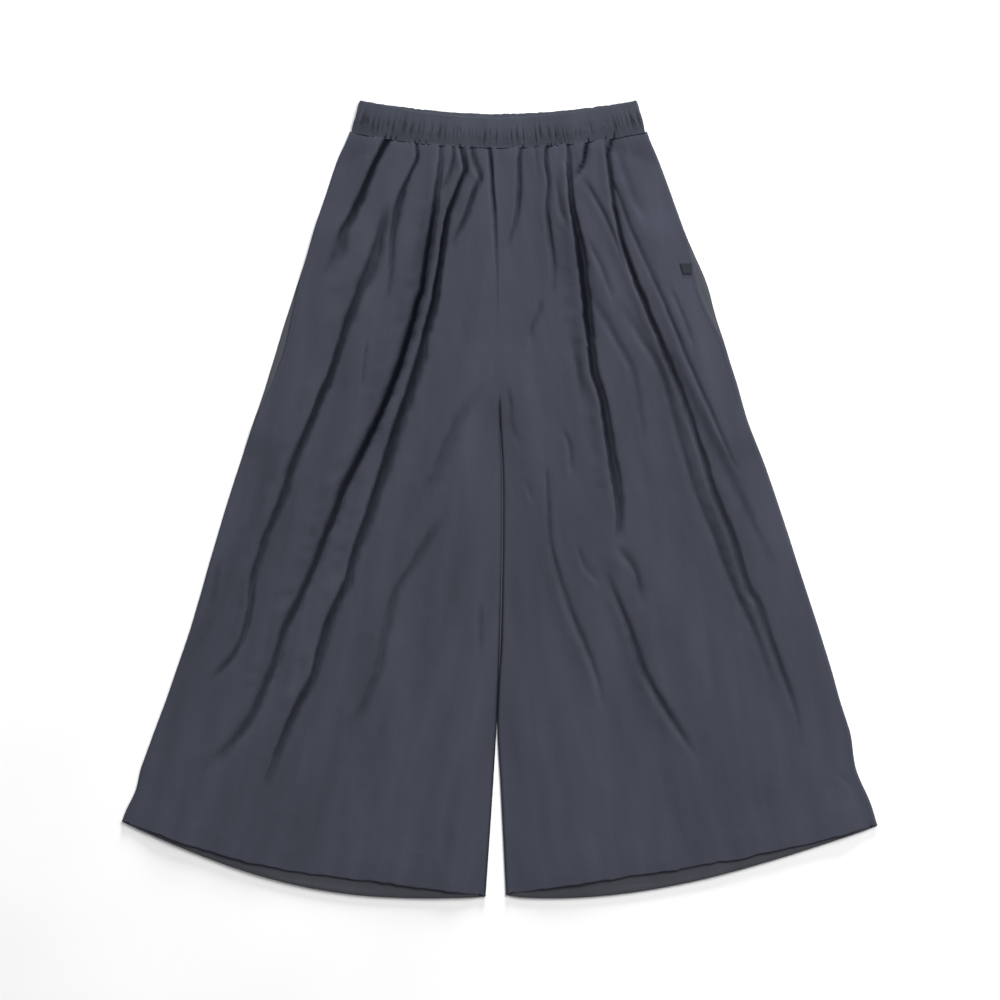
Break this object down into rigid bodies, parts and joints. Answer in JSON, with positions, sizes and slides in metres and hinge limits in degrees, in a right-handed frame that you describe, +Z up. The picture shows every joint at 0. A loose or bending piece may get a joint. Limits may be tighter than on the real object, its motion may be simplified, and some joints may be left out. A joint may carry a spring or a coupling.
{
  "type": "wide-leg trousers",
  "caption": "Cropped wide-leg pull-on trousers with a gathered elastic waistband and side-seam pockets, laid flat with the front up.",
  "frame": {"origin": "the middle of the garment's outline, on the surface it lies on", "axes": "+X to the wearer's left, +Y from the hems to the waist, +Z up from the surface, out of the front"},
  "size_m": [0.8462, 0.8921, 0.0118],
  "materials": {
    "cloth": "slate grey crisp plain-weave nylon, matt with a faint sheen",
    "band": "the same cloth, gathered over elastic",
    "facing": "the same cloth, matt inner side",
    "tab": "blank dark woven tape"
  },
  "bodies": {
    "root": {"waistband": "band", "front_right": "cloth", "front_left": "cloth", "back_right": "cloth", "back_left": "cloth", "pocket_facing_right": "facing", "pocket_facing_left": "facing", "pocket_tab": "tab"}
  },
  "joints": []
}
